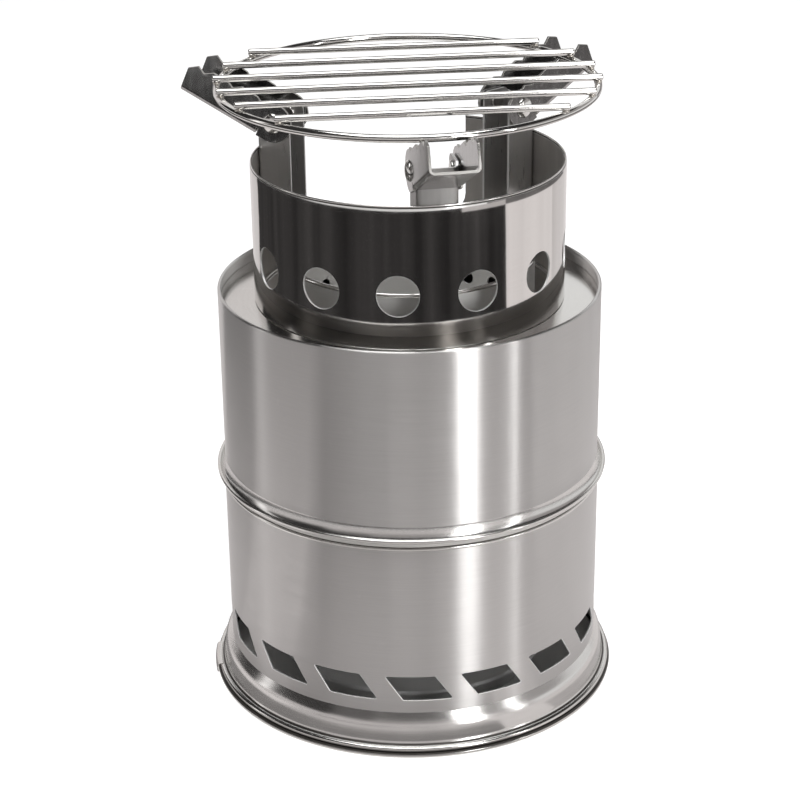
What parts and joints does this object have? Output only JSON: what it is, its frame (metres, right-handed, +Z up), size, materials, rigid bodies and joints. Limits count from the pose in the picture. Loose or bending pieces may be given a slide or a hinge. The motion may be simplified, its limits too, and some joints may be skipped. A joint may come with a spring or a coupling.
{
  "type": "portable wood stove",
  "caption": "Round portable camping wood stove of sheet steel: vented base, double-walled body, perforated crown with folding stepped pot arms and a wire grill on top.",
  "frame": {"origin": "on the ground, at the middle of the floor pan's flat underside, on the stove's upright axis", "axes": "+Z up along the stove's axis; the front, where the front arm stands, faces -Y; the feed opening faces +Y"},
  "size_m": [0.1395, 0.1415, 0.2041],
  "materials": {
    "brushed_shell": "satin stainless steel with fine grain round the shell",
    "polished_steel": "polished stainless steel",
    "mirror_steel": "mirror-polished stainless steel",
    "dark_steel": "bright stainless sheet that reflects a dark room",
    "chamber_steel": "bright-rolled stainless steel",
    "dull_steel": "mill-finish stainless steel",
    "wire": "bright drawn stainless wire"
  },
  "bodies": {
    "base": {"base_shell": "brushed_shell", "foot_hoop": "polished_steel", "floor_pan": "dull_steel"},
    "ash_tray": {"ash_tray": "dull_steel"},
    "body": {"body_shell": "brushed_shell", "body_floor": "dull_steel", "chamber_wall": "chamber_steel", "top_plate": "polished_steel"},
    "grate": {"fire_grate": "chamber_steel"},
    "crown": {"crown_ring": "mirror_steel", "bracket_front": "dark_steel", "bracket_right": "dark_steel", "bracket_left": "dark_steel", "rivets_front": "polished_steel", "rivets_right": "polished_steel", "rivets_left": "polished_steel"},
    "arm_front": {"arm_front": "dark_steel"},
    "arm_right": {"arm_right": "dark_steel"},
    "arm_left": {"arm_left": "dark_steel"},
    "grill": {"grill_ring": "wire", "grill_bar_1": "wire", "grill_bar_2": "wire", "grill_bar_3": "wire", "grill_bar_4": "wire", "grill_bar_5": "wire", "grill_bar_6": "wire"}
  },
  "joints": [
    {"name": "body_lift", "type": "slide", "parent": "base", "child": "body", "axis": [0, 0, 1], "range_m": [0, 0.09]},
    {"name": "ash_tray_lift", "type": "slide", "parent": "base", "child": "ash_tray", "axis": [0, 0, 1], "range_m": [0, 0.03]},
    {"name": "grate_lift", "type": "slide", "parent": "body", "child": "grate", "axis": [0, 0, 1], "range_m": [0, 0.06]},
    {"name": "crown_lift", "type": "slide", "parent": "body", "child": "crown", "axis": [0, 0, 1], "range_m": [0, 0.08]},
    {"name": "grill_lift", "type": "slide", "parent": "crown", "child": "grill", "axis": [0, 0, 1], "range_m": [0, 0.12]},
    {"name": "arm_front_fold", "type": "hinge", "parent": "crown", "child": "arm_front", "pos_m": [0.00738, -0.04185, 0.1863], "axis": [-0.9848, -0.1736, 0], "range_deg": [0, 150]},
    {"name": "arm_right_fold", "type": "hinge", "parent": "crown", "child": "arm_right", "pos_m": [0.03256, 0.02732, 0.1863], "axis": [0.6428, -0.766, 0], "range_deg": [0, 150]},
    {"name": "arm_left_fold", "type": "hinge", "parent": "crown", "child": "arm_left", "pos_m": [-0.03994, 0.01454, 0.1863], "axis": [0.342, 0.9397, 0], "range_deg": [0, 150]}
  ],
  "couplings": [
    {"joint": "arm_front_fold", "follows": "grill_lift", "rad_per_m": 21.8},
    {"joint": "arm_right_fold", "follows": "grill_lift", "rad_per_m": 21.8},
    {"joint": "arm_left_fold", "follows": "grill_lift", "rad_per_m": 21.8}
  ]
}
